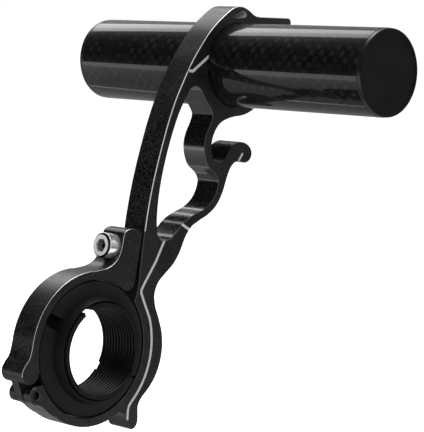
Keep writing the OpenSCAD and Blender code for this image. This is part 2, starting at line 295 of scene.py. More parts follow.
@dataclass(frozen=True)
class AnodisedAlloy:
    """Blasted aluminium under a black anodised skin, with a fine even grain."""

    name: str = "black_anodised"
    dark: Colour = (0.0012, 0.0012, 0.0013)
    light: Colour = (0.020, 0.020, 0.0205)
    grain: float = 0.45 * MM
    grain_share: float = 0.8
    cloud: float = 9.0 * MM
    reach: Range = (0.40, 0.62)
    shine: float = 0.26
    rough: Range = (0.28, 0.46)
    relief: float = 0.02 * MM

    def build(self) -> Material:
        """Grain darkens and lightens the black, roughens it and raises tiny bumps.

        Returns:
            The material.
        """
        s = Shader(self.name)
        grain = s.noise(self.grain, 3.0)
        mixed = s.mix(grain, s.noise(self.cloud), self.grain_share)
        s.two_tone(mixed, (self.dark, self.light), self.rough, self.reach)
        s.setting(Specular_IOR_Level=self.shine)
        s.bump(grain, self.relief)
        return s.material


@dataclass(frozen=True)
class MilledAlloy:
    """Bare aluminium where a cutter went through the black skin."""

    name: str = "milled_alloy"
    dark: Colour = (0.46, 0.46, 0.465)
    light: Colour = (0.66, 0.66, 0.665)
    rough: Range = (0.26, 0.38)
    pitch: float = 0.12 * MM
    stretch: float = 6.0
    metal: float = 1.0
    relief: float = 0.006 * MM

    def build(self) -> Material:
        """Faint cutter marks vary the brightness and the roughness.

        Returns:
            The material.
        """
        s = Shader(self.name)
        marks = s.noise(self.pitch, stretch=(self.stretch, 1.0, 1.0))
        s.two_tone(marks, (self.dark, self.light), self.rough)
        s.setting(Metallic=self.metal)
        s.bump(marks, self.relief)
        return s.material


@dataclass(frozen=True)
class TurnedSteel:
    """Steel with fine turning lines round an axis of the piece's own UV map."""

    name: str = "polished_steel"
    dark: Colour = (0.60, 0.60, 0.61)
    light: Colour = (0.80, 0.80, 0.81)
    rough: Range = (0.10, 0.20)
    pitch: float = 0.10 * MM
    stretch: float = 40.0
    wear: float = 1.2 * MM
    lines_share: float = 0.6
    metal: float = 1.0
    relief: float = 0.003 * MM

    def build(self) -> Material:
        """Streaks that run round the piece, over a faint cloud of wear.

        Returns:
            The material.
        """
        s = Shader(self.name)
        lines = s.noise(self.pitch, where=s.uv("turning"), stretch=(self.stretch, 1.0, 1.0))
        mixed = s.mix(lines, s.noise(self.wear, 3.0), self.lines_share)
        s.two_tone(mixed, (self.dark, self.light), self.rough)
        s.setting(Metallic=self.metal)
        s.bump(lines, self.relief)
        return s.material


@dataclass(frozen=True)
class MouldedPlastic:
    """Black plastic with the faint texture of its mould."""

    name: str
    dark: Colour = (0.004, 0.004, 0.004)
    light: Colour = (0.009, 0.009, 0.0095)
    rough: Range = (0.42, 0.55)
    shine: float = 0.09
    texture: float = 0.3 * MM
    cloud: float = 5.0 * MM
    relief: float = 0.008 * MM

    def build(self) -> Material:
        """Mould texture in colour, roughness and bump.

        Returns:
            The material.
        """
        s = Shader(self.name)
        fine = s.noise(self.texture, 3.0)
        mixed = s.mix(fine, s.noise(self.cloud), 0.5)
        s.two_tone(mixed, (self.dark, self.light), self.rough)
        s.setting(Specular_IOR_Level=self.shine)
        s.bump(fine, self.relief)
        return s.material


@dataclass(frozen=True)
class ClearCoatedWeave:
    """Plain-woven black fibre tows under a thick gloss coat.

    The UV map named weave counts tows: U along the tube, V round it.
    """

    name: str = "coated_weave"
    dark: Colour = (0.0016, 0.0016, 0.0017)
    # along and across are painted sheen: tows along the tube are painted lighter than tows round it
    along: Colour = (0.017, 0.017, 0.0175)
    across: Colour = (0.007, 0.007, 0.0075)
    fibre: float = 0.09
    fibre_stretch: float = 14.0
    # fall sets the painted shade towards each tow's sides
    fall: float = 0.22
    cell_range: Range = (0.3, 1.25)
    fibre_range: Range = (0.35, 1.25)
    rough: Range = (0.35, 0.5)
    shine: float = 0.05
    coat: float = 0.55
    coat_rough: float = 0.02
    coat_index: float = 1.5
    relief: float = 0.04 * MM
    relief_share: float = 0.4

    def build(self) -> Material:
        """Each cell shows the tow on top: along the tube where its U and V counts are even in sum.

        The colour paints the tows' sheen and shade: a tow is painted brightest along its middle and
        dark at its sides, where it dives under the next, and tows along the tube are painted lighter
        than those round it. Each cell also has a brightness of its own.

        Returns:
            The material.
        """
        s = Shader(self.name)
        parts = s.node("ShaderNodeSeparateXYZ")
        where = s.uv("weave")
        s.feed(parts.inputs[0], where)
        u, v = parts.outputs["X"], parts.outputs["Y"]
        odd = s.maths("MODULO", s.maths("ADD", s.maths("FLOOR", u), s.maths("FLOOR", v)), 2.0)
        # Painted shade: each tow darkens from its middle towards its sides
        humps = [s.maths("SINE", s.maths("MULTIPLY", s.maths("FRACT", c), math.pi)) for c in (u, v)]
        body = s.maths("POWER", s.maths("MULTIPLY", *humps), self.fall)
        cell = s.node("ShaderNodeVectorMath", operation="FLOOR")
        s.feed(cell.inputs[0], where)
        chance = s.node("ShaderNodeTexWhiteNoise", noise_dimensions="3D")
        s.feed(chance.inputs["Vector"], cell.outputs["Vector"])
        threads = s.node("ShaderNodeMix", data_type="FLOAT")
        s.feed(threads.inputs["Factor"], odd)
        long = self.fibre_stretch
        for socket, stretch in ((2, (long, 1.0, 1.0)), (3, (1.0, long, 1.0))):
            s.feed(threads.inputs[socket], s.noise(self.fibre, where=where, stretch=stretch))
        fibres = threads.outputs[0]
        uneven = s.maths("MULTIPLY", body, s.between(chance.outputs["Value"], *self.cell_range))
        amount = s.maths("MULTIPLY", uneven, s.between(fibres, *self.fibre_range, *NOISE_REACH))
        # Painted sheen: tows along the tube lighter than tows round it
        s.setting(Base_Color=s.blend(amount, self.dark, s.blend(odd, self.along, self.across)),
                  Roughness=s.between(fibres, *self.rough, *NOISE_REACH),
                  Specular_IOR_Level=self.shine, Coat_Weight=self.coat,
                  Coat_Roughness=self.coat_rough, Coat_IOR=self.coat_index)
        s.bump(body, self.relief, self.relief_share)
        return s.material


# Surfaces


def make_piece(name: str, shape: Shape, body: str, finishes: Materials) -> SceneObject:
    """Puts points and faces into a mesh object that rides on a body.

    Args:
        name: Name of the piece.
        shape: Points in metres, one row each, and quads, one row of four point numbers each.
        body: Body of the part that the piece rides on.
        finishes: Its materials, of which every face takes the first.

    Returns:
        The new object.
    """
    vertices, faces = shape
    mesh = bpy.data.meshes.new(name)
    mesh.from_pydata(vertices.tolist(), [], faces.tolist())
    mesh.update()
    made = bpy.data.objects.new(name, mesh)
    bpy.context.scene.collection.objects.link(made)
    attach(made, body)
    for finish in finishes:
        mesh.materials.append(finish)
    return made


def grid_faces(rows: int, columns: int) -> np.ndarray:
    """Quads between the points of a grid whose last column joins its first.

    Args:
        rows: Points along the first parameter.
        columns: Points along the second parameter, which runs round.

    Returns:
        One row of four vertex numbers for each quad.
    """
    i, j = np.meshgrid(np.arange(rows - 1), np.arange(columns), indexing="ij")
    k = (j + 1) % columns
    corners = (i * columns + j, i * columns + k, (i + 1) * columns + k, (i + 1) * columns + j)
    return np.stack([c.ravel() for c in corners], axis=1)


def rounded_profile(corners: Sequence[Point], steps: int = 4) -> np.ndarray:
    """A line of (axial, radius) points whose corners are rounded.

    A corner of radius r is cut back by r along both of its sides, and a curve of the second degree
    joins the two ends: (1 - t)^2 A + 2 t (1 - t) C + t^2 B.

    Args:
        corners: Axial place, distance from the axis and corner radius of each point.
        steps: Steps round a corner.

    Returns:
        The profile, one row for each point.
    """
    points = np.array([c[:2] for c in corners], float)
    line = [points[0]]
    t = np.linspace(0.0, 1.0, steps + 1)[:, None]
    for before, here, after, (_, _, radius) in zip(points, points[1:], points[2:], corners[1:]):
        if radius <= 0.0:
            line.append(here)
            continue
        a, b = (here + (end - here) / np.linalg.norm(end - here) * radius for end in (before, after))
        line.extend((1 - t) ** 2 * a + 2 * t * (1 - t) * here + t ** 2 * b)
    line.append(points[-1])
    return np.array(line)


@dataclass(frozen=True)
class Axis:
    """A line in the part that turned pieces are built round."""

    origin: Point
    direction: Point

    def frame(self) -> tuple[np.ndarray, np.ndarray, np.ndarray]:
        """Unit vectors along the line and square to it.

        Returns:
            The direction and two vectors that make a right-handed set with it.
        """
        along = np.array(self.direction, float)
        along /= np.linalg.norm(along)
        first = np.array([0.0, 0.0, 1.0]) - along * along[2]
        first /= np.linalg.norm(first)
        return along, first, np.cross(along, first)

    def sweep(self, place: np.ndarray, radius: np.ndarray) -> Shape:
        """Rings round the line: origin + s * along + r * (cos a * first + sin a * second).

        Args:
            place: Axial place s of each ring.
            radius: Distance r from the line, one row for each ring and one column for each angle a,
                the angles being spread evenly over a full turn.

        Returns:
            The points, and the faces between them.
        """
        along, first, second = self.frame()
        angle = np.linspace(0.0, 2.0 * math.pi, radius.shape[1], endpoint=False)
        ring = np.cos(angle)[:, None] * first + np.sin(angle)[:, None] * second
        points = np.array(self.origin) + place[:, None, None] * along + radius[:, :, None] * ring
        return points.reshape(-1, 3), grid_faces(*radius.shape)

    def lathe(self, profile: np.ndarray, around: int) -> Shape:
        """Turns a profile round the line, with the same radius at every angle.

        Args:
            profile: Axial place and radius of each point.
            around: Steps round the line.

        Returns:
            The points, and the faces between them.
        """
        return self.sweep(profile[:, 0], np.repeat(profile[:, 1:], around, axis=1))


def copy_of_node(node: str, name: str, body: str, finishes: Materials) -> SceneObject:
    """Copies a solid of the part as a piece of its own.

    Args:
        node: The solid.
        name: Name of the piece.
        body: Body that the piece rides on.
        finishes: The copy's materials, in place of the solid's.

    Returns:
        The copy.
    """
    piece = frame["nodes"][node].copy()
    piece.data = piece.data.copy()
    piece.name = name
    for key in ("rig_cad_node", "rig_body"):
        if key in piece:
            del piece[key]
    bpy.context.scene.collection.objects.link(piece)
    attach(piece, body)
    piece.data.materials.clear()
    for finish in finishes:
        piece.data.materials.append(finish)
    return piece


def merged_mesh(piece: SceneObject, flat_degrees: float = 0.4) -> WorkMesh:
    """A piece's mesh with its doubles merged and its flat faces made whole.

    Args:
        piece: A copy of a solid.
        flat_degrees: Faces that meet at less than this angle become one.

    Returns:
        The mesh to work on, which the caller frees.
    """
    work = bmesh.new()
    work.from_mesh(piece.data)
    bmesh.ops.remove_doubles(work, verts=work.verts, dist=2.0 * SAME_POINT)
    bmesh.ops.dissolve_limit(work, angle_limit=math.radians(flat_degrees), verts=work.verts,
                             edges=work.edges, use_dissolve_boundaries=False)
    work.normal_update()
    return work


def shade_by_angle(work: WorkMesh, sharp_degrees: float) -> None:
    """Shades faces smooth, with sharp edges where they meet at more than an angle.

    Args:
        work: The mesh.
        sharp_degrees: The angle.
    """
    work.normal_update()
    limit = math.radians(sharp_degrees)
    for edge in work.edges:
        edge.smooth = len(edge.link_faces) == 2 and edge.calc_face_angle(0.0) < limit
    for face in work.faces:
        face.smooth = True


def write_back(work: WorkMesh, piece: SceneObject) -> None:
    """Puts a finished working mesh into its piece and frees it.

    Args:
        work: The mesh.
        piece: The piece.
    """
    work.to_mesh(piece.data)
    work.free()
    piece.data.update()


def finish_mesh(piece: SceneObject, sharp_degrees: float = 32.0) -> None:
    """Merges doubles, closes what is open, turns faces outwards and shades between sharp edges.

    Args:
        piece: The object.
        sharp_degrees: Angle between faces above which an edge stays sharp.
    """
    work = bmesh.new()
    work.from_mesh(piece.data)
    bmesh.ops.remove_doubles(work, verts=work.verts, dist=SAME_POINT)
    bmesh.ops.dissolve_degenerate(work, edges=work.edges, dist=SAME_POINT)
    bmesh.ops.holes_fill(work, edges=[e for e in work.edges if e.is_boundary], sides=0)
    bmesh.ops.recalc_face_normals(work, faces=work.faces)
    shade_by_angle(work, sharp_degrees)
    write_back(work, piece)


def all_values(items: bpy.types.bpy_prop_collection, name: str, width: int,
               kind: type = float) -> np.ndarray:
    """Reads one property of every item.

    Args:
        items: Vertices, corners or faces of a mesh.
        name: The property.
        width: How many numbers it has.
        kind: What the numbers are.

    Returns:
        One row of numbers for each item.
    """
    values = np.empty(len(items) * width, dtype=kind)
    items.foreach_get(name, values)
    return values.reshape(-1, width)


def wrap_uv(piece: SceneObject, layer: str, axis: Axis, unit_along: float,
            count_round: float) -> None:
    """Gives a piece a UV map round an axis: U is the distance along it, V the angle.

    The angle of a corner is taken within half a turn of its face's centre, so no face crosses the
    seam. Both are counted from far enough back that neither is below zero.

    Args:
        piece: The object.
        layer: Name of the UV map.
        axis: The axis.
        unit_along: Length that U counts.
        count_round: What V counts in a full turn.
    """
    units_back, turns_back = 100.0, 2.0
    mesh = piece.data
    made = mesh.uv_layers.new(name=layer)
    corner = all_values(mesh.loops, "vertex_index", 1, np.int64)[:, 0]
    sides = all_values(mesh.polygons, "loop_total", 1, np.int64)[:, 0]
    points = all_values(mesh.vertices, "co", 3)[corner] - axis.origin
    centres = np.repeat(all_values(mesh.polygons, "center", 3), sides, axis=0) - axis.origin
    along, first, second = axis.frame()
    turn, middle = (np.arctan2(p @ second, p @ first) / (2.0 * math.pi) for p in (points, centres))
    angle = middle + (turn - middle + 0.5) % 1.0 - 0.5
    uv = [points @ along / unit_along + units_back, (angle + turns_back) * count_round]
    made.data.foreach_set("uv", np.stack(uv, axis=1).astype(np.float32).ravel())


# Sub-assemblies


class PlateFinish(IntEnum):
    """A plate's finishes, by the place of their material."""

    BLACK = 0
    BARE = 1
    # BROKEN takes a lighter black whose colour paints the sheen of the broken rims
    BROKEN = 2
    POLISHED = 3
    # LINE is the etched accent lines, and a painted highlight on the walls of highlight openings
    LINE = 4


@dataclass
class MilledPlate:
    """A plate part of the bracket: its dressed copy has broken edges and bare milled lines.

    The bare chamfers follow a path on both broad sides, and every other rim is broken too but stays
    black, in a lighter black that paints its sheen. Walls inside the outlines of polished openings
    have a glossier black, and walls inside the outlines of highlight openings take the light grey of
    the accent lines as a painted highlight. Paths and outlines are points in Y and Z, in
    millimetres. A face counts as broad above one share of X in its normal, and a wall as sloped
    above another.
    """

    node: str
    name: str
    body: str
    bare_path: Outline
    polished_openings: Sequence[Outline] = ()
    highlight_openings: Sequence[Outline] = ()
    half_thickness: float = 4.0 * MM
    bare_width: float = 0.18 * MM
    black_width: float = 0.12 * MM
    crest: Range = (68.0 * MM, 76.0 * MM)
    crest_share: float = 0.5
    line_share: float = 0.2
    reach: float = 0.45 * MM
    line_floor: float = 3.88 * MM
    loose: float = 0.05 * MM
    broad_normal: float = 0.99
    sloped_normal: float = 0.2
    smooth_degrees: float = 24.0

    def build(self, finishes: Materials) -> SceneObject:
        """Copies the solid, cuts its chamfers and gives each face its finish.

        Args:
            finishes: The materials, in the order of PlateFinish.

        Returns:
            The dressed piece, which stands for the solid.
        """
        piece = copy_of_node(self.node, self.name, self.body, finishes)
        work = merged_mesh(piece)
        self._dress_walls(work)
        for side in (-1.0, 1.0):
            self._cut_chamfers(work, side)
        bmesh.ops.remove_doubles(work, verts=work.verts, dist=SAME_POINT)
        bmesh.ops.triangulate(work, faces=work.faces)
        shade_by_angle(work, self.smooth_degrees)
        write_back(work, piece)
        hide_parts(self.node)
        return piece

    def _is_broad(self, face: bmesh.types.BMFace) -> bool:
        """Whether a face is one of the plate's two broad sides."""
        x = abs(face.calc_center_median().x)
        return abs(face.normal.x) > self.broad_normal and abs(x - self.half_thickness) < self.loose

    def _is_line(self, face: bmesh.types.BMFace) -> bool:
        """Whether a face is a wall or the floor of an accent line."""
        low, high = (f(v.co.x for v in face.verts) for f in (min, max))
        return max(low, -high) > self.line_floor - self.loose and not self._is_broad(face)

    def _near_path(self, points: np.ndarray) -> np.ndarray:
        """Whether points lie within reach of the bare path, from the distance to each of its steps.

        The nearest point of a step from a to b is a + t (b - a), t being the share of the step at
        the point's foot, kept between 0 and 1.

        Args:
            points: Places in metres, one row each.

        Returns:
            True or False for each point.
        """
        path = np.array(self.bare_path) * MM
        a, step = path[:-1], np.diff(path, axis=0)
        away = points[:, None, 1:] - a[None]
        t = np.clip((away * step).sum(-1) / (step ** 2).sum(-1), 0.0, 1.0)
        return (np.linalg.norm(away - t[..., None] * step, axis=-1) < self.reach).any(axis=1)

    def _within(self, points: np.ndarray, outlines: Sequence[Outline]) -> np.ndarray:
        """Whether points lie inside one of several outlines.

        A level line from a point inside crosses that outline's sides an odd number of times.

        Args:
            points: Places in metres, one row each.
            outlines: The corners of each outline.

        Returns:
            True or False for each point.
        """
        y, z = points[:, 1, None], points[:, 2, None]
        inside = np.zeros(len(points), bool)
        for outline in outlines:
            a = np.array(outline) * MM
            b = np.roll(a, -1, axis=0)
            rise = np.where(a[:, 1] == b[:, 1], 1.0, b[:, 1] - a[:, 1])
            cut = a[:, 0] + (z - a[:, 1]) / rise * (b[:, 0] - a[:, 0])
            inside |= (((a[:, 1] > z) != (b[:, 1] > z)) & (y < cut)).sum(axis=1) % 2 == 1
        return inside

    def _dress_walls(self, work: WorkMesh) -> None:
        """Gives accent lines, walls and broad sides their finishes.

        Args:
            work: The merged copy of the solid.
        """
        faces = list(work.faces)
        middles = np.array([f.calc_center_median() for f in faces])
        polished = self._within(middles, self.polished_openings)
        bare = self._within(middles, self.highlight_openings)
        for face, is_polished, is_painted_highlight in zip(faces, polished, bare):
            if self._is_broad(face):
                face.material_index = PlateFinish.BLACK
            elif is_polished and not self._is_line(face):
                face.material_index = PlateFinish.POLISHED
            # Walls in highlight openings take the light line grey as a painted highlight
            elif is_painted_highlight or self._is_line(face):
                face.material_index = PlateFinish.LINE
            else:
                face.material_index = PlateFinish.BLACK

    def _widths(self, rim: set[bmesh.types.BMVert],
                sharp: set[bmesh.types.BMVert]) -> dict[tuple[int, ...], float]:
        """How wide the chamfer is at each corner of a broad side's rim.

        The width falls to nothing towards an accent line or a sloped wall: it is at most a given
        share of the way there. The bare chamfers thin out between the two heights named crest.

        Args:
            rim: Corners of the rim.
            sharp: Those of them where an accent line or a sloped wall starts.

        Returns:
            The width by the corner's place.
        """
        far_away = [(1.0, 0.0, 0.0)]
        places = np.array([v.co for v in rim])
        ends = np.array([v.co for v in sharp] or far_away)
        to_line = np.linalg.norm(places[:, None] - ends, axis=-1).min(axis=1)
        bare = self.bare_width * np.interp(places[:, 2], self.crest, (1.0, self.crest_share))
        widths = np.where(self._near_path(places), bare, self.black_width)
        widths = np.minimum(widths, self.line_share * to_line)
        return {self._key(place): float(w) for place, w in zip(places, widths)}

    def _cut_chamfers(self, work: WorkMesh, side: float) -> None:
        """Cuts flat chamfers along the rims of one broad side.

        The side is inset by one width all round. Each inset corner then comes back towards its rim
        until it is its own chamfer's width away, and its rim point goes down the wall by as much.

        Args:
            work: The merged copy of the solid.
            side: 1 for the side towards +X, -1 for the other.
        """
        broad = [f for f in work.faces if self._is_broad(f) and f.normal.x * side > 0.0]
        inner = set(broad)
        rim, sharp = set(), set()
        for edge in {e for f in broad for e in f.edges}:
            across = [f for f in edge.link_faces if f not in inner]
            if across:
                rim.update(edge.verts)
                if self._is_line(across[0]) or abs(across[0].normal.x) > self.sloped_normal:
                    sharp.update(edge.verts)
        width = self._widths(rim, sharp)
        inset = bmesh.ops.inset_region(work, faces=broad, thickness=self.bare_width, depth=0.0,
                                       use_boundary=True, use_even_offset=True)
        made = set(inset["faces"])
        outer = {v: width[self._key(v.co)] for f in made for v in f.verts
                 if any(other not in made and other not in inner for other in v.link_faces)}
        for edge in {e for f in made for e in f.edges}:
            ends = [v for v in edge.verts if v in outer]
            if len(ends) == 1:
                there = edge.other_vert(ends[0])
                share = outer[ends[0]] / self.bare_width
                there.co = ends[0].co + (there.co - ends[0].co) * share
        for face in made:
            bare = all(outer.get(v, self.bare_width) > 0.0 for v in face.verts)
            bare = bare and bool(self._near_path(np.array([face.calc_center_median()]))[0])
            face.material_index = PlateFinish.BARE if bare else PlateFinish.BROKEN
        for corner, w in outer.items():
            corner.co.x -= side * w

    @staticmethod
    def _key(place: Sequence[float]) -> tuple[int, ...]:
        """A place in whole steps of a tenth of a micrometre, to look it up by."""
        return tuple(round(c / (0.0001 * MM)) for c in place)


# Edges that are milled bare, as points in Y and Z in millimetres: the front arm from the tube's tab
# over its top and down to the screw, and the jaw from its lug over the ring to the knob
ARM_FRONT = ((58.3, 82.15), (57, 83.05), (55.6, 83.8), (54, 84.35), (52.3, 84.45), (50.4, 84.05),
             (48, 82.75), (44.6, 80.5), (41.9, 78.3), (39.5, 75.8), (37.5, 73.5), (35.4, 70.9),
             (33.1, 67.5), (31.2, 64.4), (29.5, 61.5), (26.6, 55.4), (24.1, 49), (21.9, 42.7),
             (20.2, 37), (19, 32.2), (18.1, 28))
JAW_OUTSIDE = ((14.4, 28.95), (12.4, 28.95), (11.2, 28.3), (10.7, 26.8), (10.2, 24.8), (9.2, 22.5),
               (7.6, 20.9), (5.2, 19.95), (2.4, 19.65), (-1.7, 19.63), (-5.1, 19.03),
               (-8.33, 17.86), (-11.3, 16.14), (-13.93, 13.93), (-16.14, 11.3), (-17.86, 8.33),
               (-19.03, 5.1), (-19.4, 3.6), (-19.9, 1.7), (-20.6, 0.2), (-21.7, -0.9),
               (-22.6, -2.2), (-22.85, -3.3))
# Loose outlines round the window between the arms and round the small window under the crest, whose
# walls take a painted highlight
ARM_WINDOW = ((22.9, 23.8), (21.4, 26.5), (21.4, 34.5), (23, 41), (24.8, 47), (27.1, 53),
              (29.8, 58.6), (33, 63.2), (36.3, 65.2), (38.9, 64), (41, 61), (43.9, 57), (42.8, 53),
              (41, 49), (41, 45.6), (42.4, 43.4), (44.6, 41.8), (46.2, 38.8), (45.4, 35.4),
              (43.2, 32.4), (40, 30.6), (36.2, 29.5), (33, 27.9), (30.2, 25.5), (27.6, 23.9),
              (25.3, 23.3))
CREST_WINDOW = ((49.7, 81.6), (51.8, 83.1), (54.6, 83.8), (56, 83), (56, 81.9), (54.6, 81.2),
                (52, 81))


class Side(Enum):
    """An end of the tube."""

    RIGHT = 1
    LEFT = -1


@dataclass
class WovenTube:
    """The extension tube and its two caps."""

    axis_y: float = 52.0 * MM
    axis_z: float = 69.0 * MM
    radius: float = 11.1 * MM
    wall: float = 1.5 * MM
    end_edge: float = 0.12 * MM
    waist: float = 0.2 * MM
    waist_half: float = 4.3 * MM
    waist_edge: float = 0.05 * MM
    tows_round: int = 42
    cap_inset: float = 0.1 * MM
    cap_rim: float = 1.3 * MM
    cap_dish: float = 0.25 * MM
    cap_rim_width: float = 0.7 * MM
    cap_rim_slope: float = 0.01 * MM
    cap_rounding: float = 0.28 * MM
    cap_step: float = 0.08 * MM
    cap_edge: float = 0.06 * MM
    cap_outside: float = 0.05 * MM
    cap_sharp_degrees: float = 40.0
    dish_rings: tuple[float, ...] = (0.0, 0.35, 0.7)
    plug: float = 7.0 * MM
    plug_wall: float = 1.4 * MM
    plug_edges: Point = (0.4 * MM, 0.2 * MM, 0.5 * MM)
    play: float = 0.05 * MM
    around: int = 160

    def axis(self) -> Axis:
        """The tube's own axis."""
        return Axis((0.0, self.axis_y, self.axis_z), (1.0, 0.0, 0.0))

    def build_tube(self, weave: Material) -> SceneObject:
        """Turns the wall's section round the axis, with softened ends.

        Args:
            weave: Finish of the tube.

        Returns:
            The tube, which stands for the solid.
        """
        low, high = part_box("extension_tube")
        inner = self.radius - self.wall
        neck = self.radius - self.waist
        start = (low.x, (self.radius + inner) / 2, 0.0)
        profile = rounded_profile([start, (low.x, self.radius, self.end_edge),
                                   (-self.waist_half, self.radius, self.waist_edge),
                                   (-self.waist_half, neck, 0.0), (self.waist_half, neck, 0.0),
                                   (self.waist_half, self.radius, self.waist_edge),
                                   (high.x, self.radius, self.end_edge),
                                   (high.x, inner, self.end_edge),
                                   (low.x, inner, self.end_edge), start])
        shape = self.axis().lathe(profile, self.around)
        piece = make_piece("woven_tube", shape, "bracket", (weave,))
        finish_mesh(piece)
        tow = 2.0 * math.pi * self.radius / self.tows_round
        wrap_uv(piece, "weave", self.axis(), tow, self.tows_round)
        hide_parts("extension_tube")
        return piece

    def build_cap(self, side: Side, finishes: Materials) -> SceneObject:
        """Turns a cap's section: rim, shallow dish and hollow plug.

        Args:
            side: Which end of the tube it closes.
            finishes: Finish of the cap and of the outside of its rim.

        Returns:
            The cap, which stands for the solid.
        """
        name = side.name.lower()
        low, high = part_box(f"end_cap_{name}")
        seat = high.x - self.cap_rim if side is Side.RIGHT else low.x + self.cap_rim
        bore = self.radius - self.wall - self.play
        hollow = bore - self.plug_wall
        face = self.cap_rim - self.cap_dish
        rim = self.radius - self.cap_inset
        step = rim - self.cap_rim_width
        tip, lip, root = self.plug_edges
        section = [*((face, step * share, 0.0) for share in self.dish_rings),
                   (face, step, self.cap_step), (self.cap_rim, step + self.cap_step, self.cap_edge),
                   (self.cap_rim, rim - self.cap_rim_slope, self.cap_rounding),
                   (0.0, rim, self.cap_edge), (0.0, bore, 0.0), (-self.plug, bore, tip),
                   (-self.plug, hollow, lip), (0.0, hollow, root), (0.0, 0.0, 0.0)]
        profile = rounded_profile(section, 5)
        profile[:, 0] = seat + profile[:, 0] * side.value
        shape = self.axis().lathe(profile, self.around)
        piece = make_piece(f"cap_{name}", shape, "bracket", finishes)
        outside = np.minimum(profile[:-1, 1], profile[1:, 1]) > rim - self.cap_outside
        slots = np.repeat(outside, self.around).astype(np.int32)
        piece.data.polygons.foreach_set("material_index", slots)
        finish_mesh(piece, self.cap_sharp_degrees)
        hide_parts(f"end_cap_{name}")
        return piece


class ScrewFinish(IntEnum):
    """The screw head's finishes, by the place of their material."""

    SIDE = 0
    # The bevel's inner band and the socket's bottom: painted dark reflection and painted shade
    BEVEL = 1
    # FACE takes a near-white steel whose colour paints the face's bright reflection
    FACE = 2


